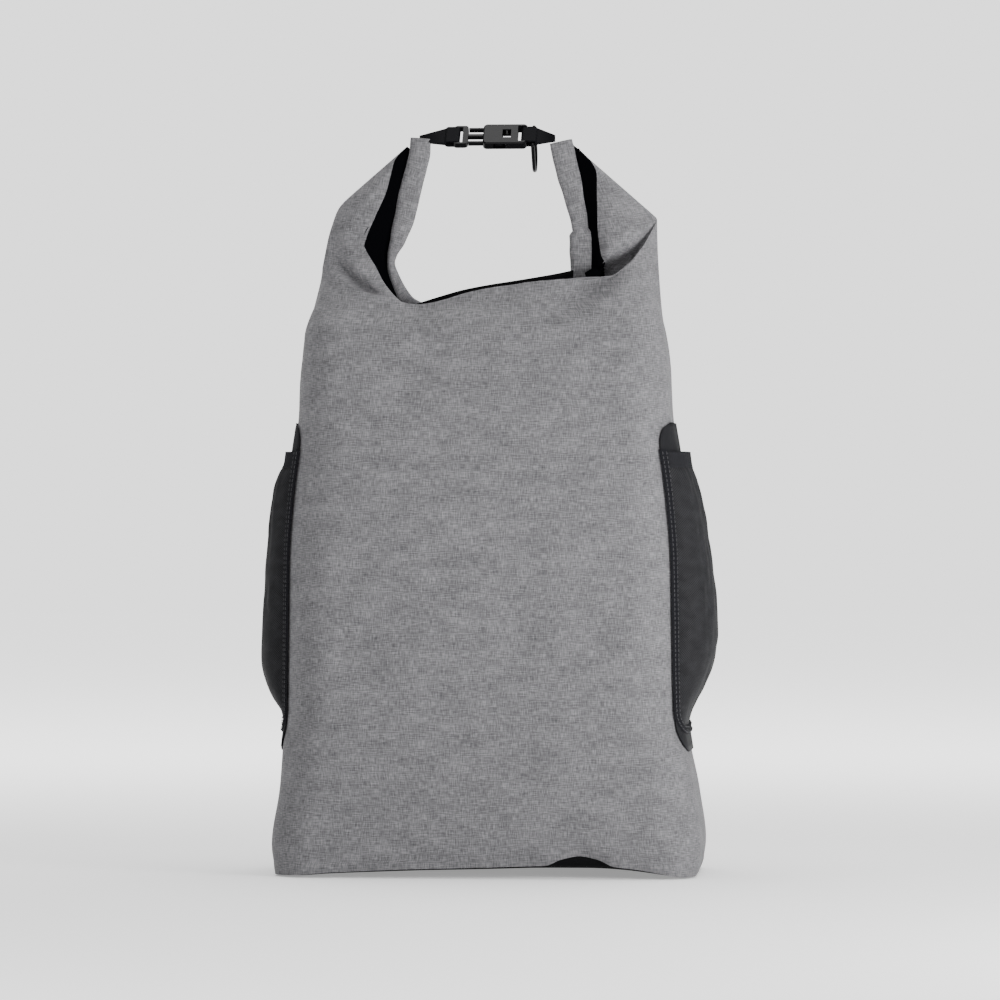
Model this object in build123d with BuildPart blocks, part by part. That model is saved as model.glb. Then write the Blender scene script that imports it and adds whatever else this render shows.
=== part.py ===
"""Roll-top dry bag with side mesh pockets, rolled shut and clipped into a handle.

Millimetres. +Z is up, the front faces -Y, and the origin is the middle of the base.
Each piece is one labelled solid, or one group of solids, written to parts/NAME.step.
"""

import os
from math import cos, radians, sin

from build123d import *

# ---------------------------------------------------------------- bag body
FABRIC = 1.2            # coated fabric, a little thick so that it is a real wall
GAP = 0.3               # clearance between pieces that only lie on each other
CONTACT = 0.05          # clearance between pieces that are sewn or welded together
BODY_SECTIONS = [       # height, width, depth and corner radius of the filled bag
    (0.0, 304, 138, 26),
    (16.0, 321, 156, 30),
    (60.0, 316, 162, 31),
    (200.0, 292, 152, 31),
    (330.0, 279, 130, 30),
    (426.0, 255, 92, 28),
    (440.0, 243, 74, 24),
]
TOP_Z = BODY_SECTIONS[-1][0]
CHANNEL = (196.0, 24.0, 27.0)       # valley across the top in which the roll lies
BOTTOM_SEAM_Z = 9.0                 # height of the seam round the bottom panel

# ---------------------------------------------------------------- rolled mouth
ROLL_WIDTH, ROLL_THICK, ROLL_ROUND = 19.0, 12.0, 4.5
ARM_POINTS = [(73.0, 452.0), (68.5, 481.0), (61.5, 514.0), (52.8, 547.0)]
CENTRE_CORNER = (76.0, 427.0)       # the roll turns up out of the valley here
CENTRE_RADIUS = 17.0
KNUCKLE_R = ROLL_WIDTH / 2
STIFFENER = (13.0, 1.0)             # width and thickness of the strip rolled inside
STRAP = (24.0, 1.2)                 # width and thickness of the closure strap
STRAP_SHIFT = 4.5                   # the strap stands this far outside the arm
SHOULDER_SECTIONS = [               # height, inner edge, outer edge, depth
    (TOP_Z + GAP, 88.0, 123.5, 66.0),
    (460.0, 92.0, 121.0, 56.0),
    (478.0, 94.0, 117.0, 44.0),
    (496.0, 87.0, 107.0, 32.0),
    (516.0, 79.0, 87.0, 17.0),
    (532.0, 69.5, 73.5, 7.0),
]

# ---------------------------------------------------------------- buckle
BUCKLE_Z, BUCKLE_TILT = 551.0, 45.0     # its flat face leans up and to the front
SOCKET_X, SOCKET_WIDTH, SOCKET_THICK = (-3.0, 30.0), 22.0, 7.0
CAVITY_WIDTH, CAVITY_THICK, CAVITY_END = 18.4, 4.4, 20.0
PRESS_WINDOW = (5.0, 14.5)              # opening in each side, where the prongs are pressed
LIGHT_WINDOW, LIGHT_WINDOW_WIDTH = (11.5, 18.0), 9.0
WEBBING_SLOT_WIDTH, BAR = 17.0, 3.0
PLUG_X, PLUG_WIDTH, PLUG_THICK = (-25.0, -14.3), 20.0, 4.6
PRONG_X, PRONG_Y, PRONG_THICK = (-14.0, 14.0), (6.8, 8.9), 3.6
PRONG_SHOULDER = 5.5
GUIDE_TIP, GUIDE_WIDTH = 7.0, 2.4
WEBBING = (16.0, 1.4)
TAB_END = (52.0, 549.5)
RING_X, RING_WIRE, RING_INNER, RING_SIDE = 34.6, 3.0, 18.0, 20.0

# ---------------------------------------------------------------- sides
PATCH_THICK, PATCH_WIDTH, PATCH_Z = 0.8, 122.0, (92.0, 336.0)
POCKET_WALL, POCKET_HALF_WIDTH, POCKET_SET_IN = 1.2, 54.0, 3.0
POCKET_SECTIONS = [                 # height, how far the mesh stands out from the side
    (113.0, 2.0),
    (128.0, 11.0),
    (155.0, 19.0),
    (190.0, 22.5),
    (240.0, 20.5),
    (285.0, 15.5),
    (313.5, 11.0),
]
ELASTIC_HEIGHT, ELASTIC_THICK = 11.0, 1.4
BINDING_WIDTH, BINDING_THICK, BINDING_Z = 6.0, 1.6, (104.0, 312.0)

# ---------------------------------------------------------------- back
PAD_SIZE, PAD_Z, PAD_THICK, PAD_ROUND = (190.0, 278.0), 229.0, 9.0, 40.0
YOKE_SIZE, YOKE_Z, YOKE_THICK = (178.0, 24.0), 389.0, 2.0
HARNESS_X, HARNESS_WIDTH, HARNESS_THICK = 58.0, 52.0, 9.0
HARNESS_PATH = [(59.4, 390.3), (88.0, 403.0), (110.0, 374.0), (117.0, 322.0), (111.0, 264.0), (111.0, 214.0)]
HARNESS_RADII = [10.0, 30.0, 90.0, 150.0]
LOCK_WIDTH, LOCK_LENGTH, LOCK_THICK, LOCK_SLOT_WIDTH = 30.0, 26.0, 4.0, 22.0
LOCK_SLOTS = [(4.5, 9.5), (-4.5, 1.5)]  # along the lock, from its middle
LOCK_TOP_BAR, LOCK_MIDDLE_BAR = 11.25, 3.0
LOCK_DROP = 16.0                        # from the end of the shoulder strap to the lock's middle
KEEPER_R = (2.8, 4.2)
ADJUSTER = (20.0, 1.2)                  # width and thickness of the adjusting webbing
ADJUSTER_LOOP_R, TAIL_LENGTH = 2.55, 92.0
ANCHOR_POINT, ANCHOR_SIZE, ANCHOR_THICK = (96.0, 58.0), (36.0, 36.0), 2.2
ANCHOR_SURFACE_Y = 82.0                 # the back of the bag there
TAPE_WIDTH, TAPE_THICK, TAPE_Z = 22.0, 0.5, (16.0, 405.0)

SIDES = {"left": -1, "right": 1}
HUGE = 900.0


def save(name, label):
    """Labels a finished piece and writes its STEP file."""
    name.part.label = label
    export_step(name.part, f"parts/{label}.step")


def body_form(grow):
    """The bag's closed outer form, grown outwards by grow on every side."""
    with BuildPart() as form:
        for height, width, depth, radius in BODY_SECTIONS:
            shift = -grow if height == 0 else grow if height == TOP_Z else 0
            with BuildSketch(Plane.XY.offset(height + shift)):
                RectangleRounded(width + 2 * grow, depth + 2 * grow, radius + grow)
        loft()
        with BuildSketch(Plane.XY.offset(TOP_Z + grow)):
            corner = min(8, CHANNEL[1] / 2 - grow - 0.5)
            RectangleRounded(CHANNEL[0] - 2 * grow, CHANNEL[1] - 2 * grow, corner)
        extrude(amount=-CHANNEL[2], mode=Mode.SUBTRACT)
    return form.part


def layer(outside, inside, outline):
    """What lies between two body forms within an outline solid."""
    with BuildPart() as between:
        add(outside)
        add(inside, mode=Mode.SUBTRACT)
        add(outline, mode=Mode.INTERSECT)
    return between


def side_outline(sign, width, heights, corner):
    """A rounded rectangle seen from the side, carried through that half of the bag."""
    with BuildPart() as outline:
        with BuildSketch(Plane.YZ):
            with Locations((0, sum(heights) / 2)):
                RectangleRounded(width, heights[1] - heights[0], corner)
        extrude(amount=sign * HUGE / 2)
    return outline.part


def back_outline(centre, size, corner):
    """A rounded rectangle seen from behind, carried through the back half of the bag."""
    with BuildPart() as outline:
        with BuildSketch(Plane.XZ):
            with Locations(centre):
                RectangleRounded(*size, corner)
        extrude(amount=-HUGE / 2)
    return outline.part


def side_x(height):
    """Half width of the bag at a height, on straight lines between its sections."""
    for (z0, w0, *_), (z1, w1, *_) in zip(BODY_SECTIONS, BODY_SECTIONS[1:]):
        if z0 <= height <= z1:
            return (w0 + (w1 - w0) * (height - z0) / (z1 - z0)) / 2
    raise ValueError("the height is outside the bag")


def pocket_form(sign, grow):
    """The pocket's bulging form: ellipses set on the side of the bag."""
    with BuildPart() as form:
        for height, stand_out in POCKET_SECTIONS:
            lift = -grow if height == POCKET_SECTIONS[0][0] else 0
            with BuildSketch(Plane.XY.offset(height + lift)):
                with Locations((sign * (side_x(height) - POCKET_SET_IN), 0)):
                    Ellipse(stand_out + POCKET_SET_IN + grow, POCKET_HALF_WIDTH + grow)
        loft()
    return form.part


def tangent_plane(path, place):
    """The plane across a path that lies in XZ or YZ, with its first direction level."""
    direction = path % place
    level = Vector(0, 1, 0) if abs(direction.Y) < 1e-6 else Vector(1, 0, 0)
    return Plane(origin=path @ place, x_dir=level, z_dir=direction)


os.makedirs("parts", exist_ok=True)

# ================================================================ bag body
outer_form = body_form(0)
inner_form = body_form(-FABRIC)

with BuildPart() as bag_wall:
    add(outer_form)
    add(inner_form, mode=Mode.SUBTRACT)

for face, facing in (("front", -1), ("back", 1)):
    with BuildPart() as panel:
        add(bag_wall.part)
        with Locations((0, facing * HUGE / 4, BOTTOM_SEAM_Z)):
            Box(HUGE, HUGE / 2, HUGE, align=(Align.CENTER, Align.CENTER, Align.MIN), mode=Mode.INTERSECT)
    save(panel, f"{face}_panel")

with BuildPart() as bottom_panel:
    add(bag_wall.part)
    Box(HUGE, HUGE, BOTTOM_SEAM_Z, align=(Align.CENTER, Align.CENTER, Align.MIN), mode=Mode.INTERSECT)
save(bottom_panel, "bottom_panel")

# ================================================================ sides
tape_forms = body_form(-FABRIC - CONTACT), body_form(-FABRIC - CONTACT - TAPE_THICK)
patch_forms = body_form(PATCH_THICK), body_form(CONTACT)
clear_of_patch = body_form(PATCH_THICK + CONTACT)
binding_form = body_form(PATCH_THICK + CONTACT + BINDING_THICK)

for side, sign in SIDES.items():
    save(layer(*tape_forms, side_outline(sign, TAPE_WIDTH, TAPE_Z, 4)), f"seam_tape_{side}")
    save(layer(*patch_forms, side_outline(sign, PATCH_WIDTH, PATCH_Z, 18)), f"side_patch_{side}")

    pocket_outside = pocket_form(sign, 0)
    with BuildPart() as mesh_pocket:
        add(pocket_outside)
        add(pocket_form(sign, -POCKET_WALL), mode=Mode.SUBTRACT)
        add(clear_of_patch, mode=Mode.SUBTRACT)
    save(mesh_pocket, f"mesh_pocket_{side}")

    pocket_top = POCKET_SECTIONS[-1][0]
    with BuildPart() as pocket_elastic:
        add(pocket_form(sign, ELASTIC_THICK))
        add(pocket_form(sign, CONTACT), mode=Mode.SUBTRACT)
        add(clear_of_patch, mode=Mode.SUBTRACT)
        with Locations((0, 0, pocket_top)):
            Box(
                HUGE, HUGE, ELASTIC_HEIGHT,
                align=(Align.CENTER, Align.CENTER, Align.MAX), mode=Mode.INTERSECT,
            )
    save(pocket_elastic, f"pocket_elastic_{side}")

    binding_width = 2 * (POCKET_HALF_WIDTH + ELASTIC_THICK + BINDING_WIDTH)
    with BuildPart() as binding_outline:
        add(side_outline(sign, binding_width, BINDING_Z, 12))
        with BuildSketch(Plane.YZ):
            with Locations((0, (BINDING_Z[0] + BINDING_WIDTH + HUGE) / 2)):
                RectangleRounded(
                    binding_width - 2 * BINDING_WIDTH, HUGE - BINDING_Z[0] - BINDING_WIDTH, 10
                )
        extrude(amount=sign * HUGE / 2, mode=Mode.SUBTRACT)
    with BuildPart() as pocket_binding:
        add(layer(binding_form, clear_of_patch, binding_outline.part).part)
        add(pocket_outside, mode=Mode.SUBTRACT)
    save(pocket_binding, f"pocket_binding_{side}")

# ================================================================ rolled mouth
with BuildLine(Plane.XZ) as centre_path:
    FilletPolyline(
        (-ARM_POINTS[0][0], ARM_POINTS[0][1]),
        (-CENTRE_CORNER[0], CENTRE_CORNER[1]),
        CENTRE_CORNER,
        ARM_POINTS[0],
        radius=CENTRE_RADIUS,
    )


def swept_bar(path, width, thick, corner=0.0, shift=(0.0, 0.0)):
    """A flat bar along a path: thick front to back and width across, beside the path by shift."""
    with BuildPart() as bar:
        with BuildSketch(tangent_plane(path, 0)):
            with Locations(shift):
                if corner:
                    RectangleRounded(thick, width, corner)
                else:
                    Rectangle(thick, width)
        sweep(path=path)
    return bar.part


def knuckle(radius, length, sign):
    """A round end about the line on which an arm bends outwards."""
    x, z = ARM_POINTS[0]
    with BuildPart() as end:
        with BuildSketch(Plane.XZ.offset(-length / 2)):
            with Locations((sign * x, z)):
                Circle(radius)
        extrude(amount=length)
    return end.part


with BuildPart() as roll_centre:
    add(swept_bar(centre_path.wire(), ROLL_WIDTH, ROLL_THICK, ROLL_ROUND))
    add(swept_bar(centre_path.wire(), STIFFENER[0] + GAP, STIFFENER[1] + GAP), mode=Mode.SUBTRACT)
    for sign in SIDES.values():
        add(knuckle(KNUCKLE_R + GAP, ROLL_THICK + 2, sign), mode=Mode.SUBTRACT)
save(roll_centre, "roll_centre")

with BuildPart() as stiffener_centre:
    add(swept_bar(centre_path.wire(), *STIFFENER))
    for sign in SIDES.values():
        add(knuckle(KNUCKLE_R + 2 * GAP, ROLL_THICK + 2, sign), mode=Mode.SUBTRACT)
save(stiffener_centre, "stiffener_centre")

for side, sign in SIDES.items():
    with BuildLine(Plane.XZ) as arm_path:
        Spline(*[(sign * x, z) for x, z in ARM_POINTS])
    arm_wire = arm_path.wire()

    with BuildPart() as roll_arm:
        add(swept_bar(arm_wire, ROLL_WIDTH, ROLL_THICK, ROLL_ROUND))
        add(knuckle(KNUCKLE_R, ROLL_THICK, sign))
        add(swept_bar(arm_wire, STIFFENER[0] + GAP, STIFFENER[1] + GAP), mode=Mode.SUBTRACT)
    save(roll_arm, f"roll_arm_{side}")

    with BuildPart() as stiffener:
        add(swept_bar(arm_wire, *STIFFENER))
    save(stiffener, f"stiffener_{side}")

    strap_behind = ROLL_THICK / 2 + STRAP[1] / 2 + GAP
    with BuildPart() as closure_strap:
        add(swept_bar(arm_wire, *STRAP, shift=(strap_behind, -sign * STRAP_SHIFT)))
        with Locations((0, 0, ARM_POINTS[0][1] + 6)):
            Box(HUGE, HUGE, HUGE, align=(Align.CENTER, Align.CENTER, Align.MIN), mode=Mode.INTERSECT)
    save(closure_strap, f"closure_strap_{side}")

    with BuildPart() as shoulder_fold:
        for height, inner, outer, depth in SHOULDER_SECTIONS:
            with BuildSketch(Plane.XY.offset(height)):
                with Locations((sign * (inner + outer) / 2, 0)):
                    Ellipse((outer - inner) / 2, depth / 2)
        loft()
    save(shoulder_fold, f"shoulder_fold_{side}")

# ================================================================ buckle
tilt = radians(BUCKLE_TILT)
buckle = Plane(origin=(0, 0, BUCKLE_Z), x_dir=(1, 0, 0), z_dir=(0, -sin(tilt), cos(tilt)))
buckle_side = Plane(origin=buckle.origin, x_dir=(1, 0, 0), z_dir=-buckle.y_dir)


def block(start, end, width, depth, plane=buckle):
    """A plain block from start to end along the buckle, depth being its size across the plane."""
    with BuildPart() as solid:
        with BuildSketch(plane):
            with Locations(((start + end) / 2, 0)):
                Rectangle(end - start, width)
        extrude(amount=depth / 2, both=True)
    return solid.part


cavity = block(SOCKET_X[0] - 1, CAVITY_END, CAVITY_WIDTH, CAVITY_THICK)
press_windows = block(*PRESS_WINDOW, CAVITY_THICK, 2 * SOCKET_WIDTH, buckle_side)
light_window = block(*LIGHT_WINDOW, LIGHT_WINDOW_WIDTH, 2 * SOCKET_THICK)
socket_slot = block(SOCKET_X[1] - BAR - 4, SOCKET_X[1] + 1, WEBBING_SLOT_WIDTH, 2 * SOCKET_THICK)
socket_bar = block(SOCKET_X[1] - BAR, SOCKET_X[1], WEBBING_SLOT_WIDTH + 1, BAR)
plug_slot = block(PLUG_X[0] - 1, PLUG_X[0] + BAR + 3.6, WEBBING_SLOT_WIDTH, 2 * SOCKET_THICK)
plug_bar = block(PLUG_X[0], PLUG_X[0] + BAR, WEBBING_SLOT_WIDTH + 1, BAR)
guide = block(PLUG_X[1] - 1, GUIDE_TIP, GUIDE_WIDTH, PRONG_THICK)

with BuildPart() as buckle_socket:
    with BuildSketch(buckle):
        with Locations((sum(SOCKET_X) / 2, 0)):
            RectangleRounded(SOCKET_X[1] - SOCKET_X[0], SOCKET_WIDTH, 3)
    extrude(amount=SOCKET_THICK / 2, both=True)
    long_edges = buckle_socket.faces().sort_by(Axis(buckle.origin, buckle.z_dir))
    chamfer(long_edges[-1].edges() + long_edges[0].edges(), 0.9)
    for hole in (cavity, press_windows, light_window, socket_slot):
        add(hole, mode=Mode.SUBTRACT)
    add(socket_bar)
save(buckle_socket, "buckle_socket")

with BuildPart() as buckle_plug:
    with BuildSketch(buckle):
        with Locations((sum(PLUG_X) / 2, 0)):
            RectangleRounded(PLUG_X[1] - PLUG_X[0], PLUG_WIDTH, 2.5)
    extrude(amount=PLUG_THICK / 2, both=True)
    add(plug_slot, mode=Mode.SUBTRACT)
    add(plug_bar)
    add(guide)
save(buckle_plug, "buckle_plug")

for face, facing in (("front", -1), ("back", 1)):
    with BuildPart() as prong:
        with BuildSketch(buckle):
            with BuildLine():
                Polyline(
                    (PRONG_X[0], facing * PRONG_Y[0]),
                    (PRONG_SHOULDER, facing * PRONG_Y[0]),
                    (PRONG_X[1] - 1, facing * (PRONG_Y[0] - 0.8)),
                    (PRONG_X[1], facing * (PRONG_Y[0] - 0.2)),
                    (PRONG_X[1] - 2, facing * PRONG_Y[1]),
                    (PRONG_SHOULDER + 0.8, facing * PRONG_Y[1]),
                    (PRONG_SHOULDER, facing * (PRONG_Y[1] - 0.7)),
                    (PRONG_X[0], facing * (PRONG_Y[1] - 0.7)),
                    close=True,
                )
            make_face()
        extrude(amount=PRONG_THICK / 2, both=True)
    save(prong, f"buckle_prong_{face}")


def webbing_tab(bar_from, bar_to, sign):
    """Webbing looped round what lies between two places, then narrowed to the end of an arm."""
    low, high = sorted((bar_from, bar_to))
    hole = BAR / 2 + 0.15
    skin = hole + WEBBING[1]
    across = Plane(
        origin=buckle.from_local_coords(Vector(sign * (abs(bar_to) + 1.2), 0, 0)),
        x_dir=buckle.y_dir,
        z_dir=(sign, 0, 0),
    )
    at_arm = Plane(origin=(sign * (TAB_END[0] - 1), 0, TAB_END[1]), x_dir=(0, 1, 0), z_dir=(sign, 0, 0))
    with BuildPart() as tab:
        with BuildSketch(buckle_side):
            with Locations(((low + high) / 2, 0)):
                RectangleRounded(high - low + 2 * WEBBING[1], 2 * skin, skin * 0.95)
                Rectangle(high - low, 2 * hole, mode=Mode.SUBTRACT)
        extrude(amount=WEBBING[0] / 2, both=True)
        with BuildSketch(across):
            Rectangle(WEBBING[0], 2 * WEBBING[1])
        with BuildSketch(at_arm):
            Rectangle(3, 5)
        loft()
    return tab


save(webbing_tab(PLUG_X[0] + BAR + 0.2, PLUG_X[0] - 5.5, -1), "plug_webbing")
save(webbing_tab(SOCKET_X[1] - BAR - 0.2, RING_X + RING_WIRE / 2 + 0.2, 1), "socket_webbing")

ring_plane = Plane(
    origin=buckle.from_local_coords(Vector(RING_X, 0, 0)), x_dir=buckle.y_dir, z_dir=(-1, 0, 0)
)
with BuildPart() as d_ring:
    half = (RING_INNER + RING_WIRE) / 2
    drop = -1 if ring_plane.y_dir.Z > 0 else 1
    with BuildLine(ring_plane) as ring_path:
        straight = Line((0, 0), (half, 0))
        side_down = Line((half, 0), (half, drop * RING_SIDE))
        bow = ThreePointArc((half, drop * RING_SIDE), (0, drop * (RING_SIDE + half)), (-half, drop * RING_SIDE))
        side_up = Line((-half, drop * RING_SIDE), (-half, 0))
        rest = Line((-half, 0), (0, 0))
    with BuildSketch(Plane(origin=ring_plane.origin, x_dir=(1, 0, 0), z_dir=ring_plane.x_dir)):
        Circle(RING_WIRE / 2)
    sweep(path=ring_path.wire(), transition=Transition.ROUND)
save(d_ring, "d_ring")

# ================================================================ back
pad_outline = back_outline((0, PAD_Z), PAD_SIZE, PAD_ROUND)
save(layer(body_form(PAD_THICK), body_form(GAP), pad_outline), "back_pad")
yoke_outline = back_outline((0, YOKE_Z), YOKE_SIZE, 3)
save(layer(body_form(YOKE_THICK), body_form(CONTACT), yoke_outline), "harness_yoke")
anchor_forms = body_form(ANCHOR_THICK), body_form(CONTACT)

for side, sign in SIDES.items():
    with BuildLine(Plane.YZ.offset(sign * HARNESS_X)) as harness_path:
        FilletPolyline(*HARNESS_PATH, radius=HARNESS_RADII)
    harness_wire = harness_path.wire()
    with BuildPart() as shoulder_strap:
        with BuildSketch(tangent_plane(harness_wire, 0)):
            RectangleRounded(HARNESS_WIDTH, HARNESS_THICK, 3)
        sweep(path=harness_wire)
    save(shoulder_strap, f"shoulder_strap_{side}")

    down = harness_wire % 1
    lock = Plane(
        origin=(harness_wire @ 1) + down * LOCK_DROP, x_dir=(1, 0, 0), z_dir=Vector(1, 0, 0).cross(-down)
    )
    lock_side = Plane(origin=lock.origin, x_dir=lock.y_dir, z_dir=(1, 0, 0))
    outward = 1 if lock_side.y_dir.Y > 0 else -1
    with BuildPart() as ladder_lock:
        with BuildSketch(lock):
            RectangleRounded(LOCK_WIDTH, LOCK_LENGTH, 4)
            for start, end in LOCK_SLOTS:
                with Locations((0, (start + end) / 2)):
                    Rectangle(LOCK_SLOT_WIDTH, end - start, mode=Mode.SUBTRACT)
        extrude(amount=LOCK_THICK / 2, both=True)
    save(ladder_lock, f"ladder_lock_{side}")

    with BuildPart() as strap_keeper:
        with BuildSketch(lock_side):
            with Locations((LOCK_TOP_BAR, 0)):
                Circle(KEEPER_R[1])
            with Locations(((LOCK_TOP_BAR + LOCK_DROP - GAP) / 2, 0)):
                Rectangle(LOCK_DROP - GAP - LOCK_TOP_BAR, 2 * KEEPER_R[1] - 2)
            with Locations((LOCK_TOP_BAR, 0)):
                Circle(KEEPER_R[0], mode=Mode.SUBTRACT)
        extrude(amount=ADJUSTER[0] / 2, both=True)
    save(strap_keeper, f"strap_keeper_{side}")

    loop_middle = outward * (ADJUSTER_LOOP_R + ADJUSTER[1] / 2)
    lead_end = lock_side.from_local_coords(Vector(-LOCK_LENGTH / 2, -loop_middle, 0))
    anchor_y = ANCHOR_SURFACE_Y + ANCHOR_THICK + ADJUSTER[1] / 2 + GAP
    anchor_end = Vector(sign * ANCHOR_POINT[0], anchor_y, ANCHOR_POINT[1])
    lead_length = LOCK_MIDDLE_BAR + LOCK_LENGTH / 2
    with BuildPart() as adjuster:
        with BuildSketch(lock_side):
            with Locations((LOCK_MIDDLE_BAR, 0)):
                Circle(ADJUSTER_LOOP_R + ADJUSTER[1])
                Circle(ADJUSTER_LOOP_R, mode=Mode.SUBTRACT)
            with Locations((LOCK_MIDDLE_BAR - TAIL_LENGTH / 2, loop_middle)):
                Rectangle(TAIL_LENGTH, ADJUSTER[1])
            with Locations((LOCK_MIDDLE_BAR - lead_length / 2, -loop_middle)):
                Rectangle(lead_length, ADJUSTER[1])
        extrude(amount=ADJUSTER[0] / 2, both=True)
        for place in (lead_end, anchor_end):
            with BuildSketch(Plane(origin=place, x_dir=(1, 0, 0), z_dir=down)):
                Rectangle(*ADJUSTER)
        loft()
    save(adjuster, f"adjuster_webbing_{side}")

    anchor_outline = back_outline((sign * ANCHOR_POINT[0], ANCHOR_POINT[1]), ANCHOR_SIZE, 5)
    save(layer(*anchor_forms, anchor_outline), f"anchor_tab_{side}")
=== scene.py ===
"""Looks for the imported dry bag: fabric body, rolled mouth, pockets, harness and buckle.

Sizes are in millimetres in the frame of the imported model: +Z up, the front faces -Y, origin at the middle
of the base.
"""

import math

import bpy
import numpy as np
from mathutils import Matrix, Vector, noise


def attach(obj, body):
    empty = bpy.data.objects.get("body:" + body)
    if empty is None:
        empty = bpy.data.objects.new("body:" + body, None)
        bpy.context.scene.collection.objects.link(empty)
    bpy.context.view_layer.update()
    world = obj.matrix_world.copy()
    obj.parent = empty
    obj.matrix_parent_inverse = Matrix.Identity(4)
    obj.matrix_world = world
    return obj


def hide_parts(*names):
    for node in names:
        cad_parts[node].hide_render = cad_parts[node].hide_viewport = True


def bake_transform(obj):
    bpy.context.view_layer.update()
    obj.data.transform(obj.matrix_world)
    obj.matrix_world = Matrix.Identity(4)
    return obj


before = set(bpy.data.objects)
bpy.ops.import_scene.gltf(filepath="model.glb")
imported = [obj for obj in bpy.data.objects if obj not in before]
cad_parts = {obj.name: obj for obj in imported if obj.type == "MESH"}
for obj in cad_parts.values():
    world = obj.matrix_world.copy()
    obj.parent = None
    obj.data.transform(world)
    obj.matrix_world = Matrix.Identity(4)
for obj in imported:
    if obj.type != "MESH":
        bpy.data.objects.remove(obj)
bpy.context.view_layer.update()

MM = 0.001
SIDES = {"left": -1, "right": 1}
ACROSS, FRONT, BACK, UP = (np.array(v) for v in ((1.0, 0, 0), (0, -1.0, 0), (0, 1.0, 0), (0, 0, 1.0)))

# ---------------------------------------------------------------- the filled bag
# height, width, depth, corner radius, how far the faces swell, how far the middle leans to the right
BODY = [
    (0, 313, 149, 28, 0.0, 2.0),
    (7, 316.5, 153, 32, 0.5, 2.5),
    (22, 319.5, 158, 34, 2.0, 2.5),
    (60, 309, 156, 36, 4.0, 2.8),
    (100, 297.5, 152, 38, 5.0, 0.5),
    (115, 293.5, 150, 38, 5.5, 0.3),
    (150, 292.5, 148, 38, 6.5, 0.0),
    (235, 292.5, 143, 38, 7.0, 0.0),
    (275, 289, 138, 37, 6.5, 0.0),
    (313, 283, 131, 36, 5.5, 0.0),
    (340, 276, 125, 35, 4.5, -0.3),
    (370, 273.5, 115, 33, 3.0, -0.8),
    (400, 268, 102, 30, 1.0, -1.0),
]
SHOULDER_Z = BODY[-1][0]
# place across the bag from the left seam (-1) to the right seam (+1), then x, y, z
RIDGE = [
    (-1.0, -124.5, 0, 453),
    (-0.87, -116, -13, 448),
    (-0.75, -103, -21, 441),
    (-0.6, -87, -25, 434),
    (-0.45, -70, -26, 428.5),
    (-0.31, -51, -25, 424.5),
    (0.0, 3, -24, 436),
    (0.38, 66, -25, 444.5),
    (0.5, 84.5, -27, 449),
    (0.62, 97, -28, 451),
    (0.75, 108, -25, 456),
    (0.87, 117, -15, 467),
    (1.0, 127.5, 0, 487),
]
RIM = [
    (-1.0, -60.5, 0, 544),
    (-0.9, -66.5, -3, 537),
    (-0.8, -73.8, -6, 512),
    (-0.7, -83, -9, 493),
    (-0.6, -92.5, -12, 474),
    (-0.5, -83, -14, 454),
    (-0.42, -76, -16, 440),
    (-0.36, -69, -17, 429),
    (-0.31, -52, -16, 418),
    (0.0, 3, -15, 430),
    (0.38, 66, -16, 438),
    (0.45, 84, -16, 444),
    (0.52, 86, -13, 458),
    (0.62, 83.6, -11, 483),
    (0.72, 81.6, -8, 509),
    (0.82, 80.4, -5, 525),
    (0.92, 75, -3, 535),
    (1.0, 64, 0, 545),
]
# where the side folds meet the roll, and the bottom of the middle
VALLEY = [
    (-1.0, -60.5, 0, 544),
    (-0.9, -53, 3, 537),
    (-0.8, -59, 3, 512),
    (-0.7, -63, 3, 493),
    (-0.6, -69, 3, 474),
    (-0.5, -73, 3, 454),
    (-0.42, -69, 3, 440),
    (-0.36, -63, 3, 424),
    (-0.31, -50, 0, 411),
    (0.0, 3, 0, 409),
    (0.38, 66, 0, 414),
    (0.45, 71, 3, 436),
    (0.52, 72, 3, 458),
    (0.62, 71, 3, 483),
    (0.72, 64, 3, 509),
    (0.82, 60, 3, 525),
    (0.92, 57, 3, 535),
    (1.0, 64, 0, 545),
]
# the tuck behind the front fold, and the lip of the shoulder face above it
TUCK = [
    (-1.0, -119.8, 0, 477),
    (-0.87, -111, -3, 456),
    (-0.75, -102, -7, 445),
    (-0.6, -89, -15, 436),
    (-0.45, -71, -23, 430),
    (-0.31, -51, -23, 423),
    (0.0, 3, -22, 435.5),
    (0.38, 66, -21, 443),
    (0.5, 87, -8, 446),
    (0.62, 99, -1, 450),
    (0.75, 110, 0, 457),
    (0.87, 118.5, -3, 472),
    (1.0, 127.4, 0, 488.5),
]
LIP = [
    (-1.0, -112.5, 0, 499),
    (-0.87, -108, -12, 475),
    (-0.75, -102, -15, 459),
    (-0.6, -91, -18, 446),
    (-0.45, -72, -20, 433),
    (-0.31, -51, -20, 421.5),
    (0.0, 3, -19, 433.5),
    (0.38, 66, -19, 441),
    (0.5, 86, -15, 451),
    (0.62, 94, -19, 463),
    (0.75, 106, -20, 473),
    (0.87, 118, -12, 482),
    (1.0, 126.8, 0, 490),
]


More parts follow.
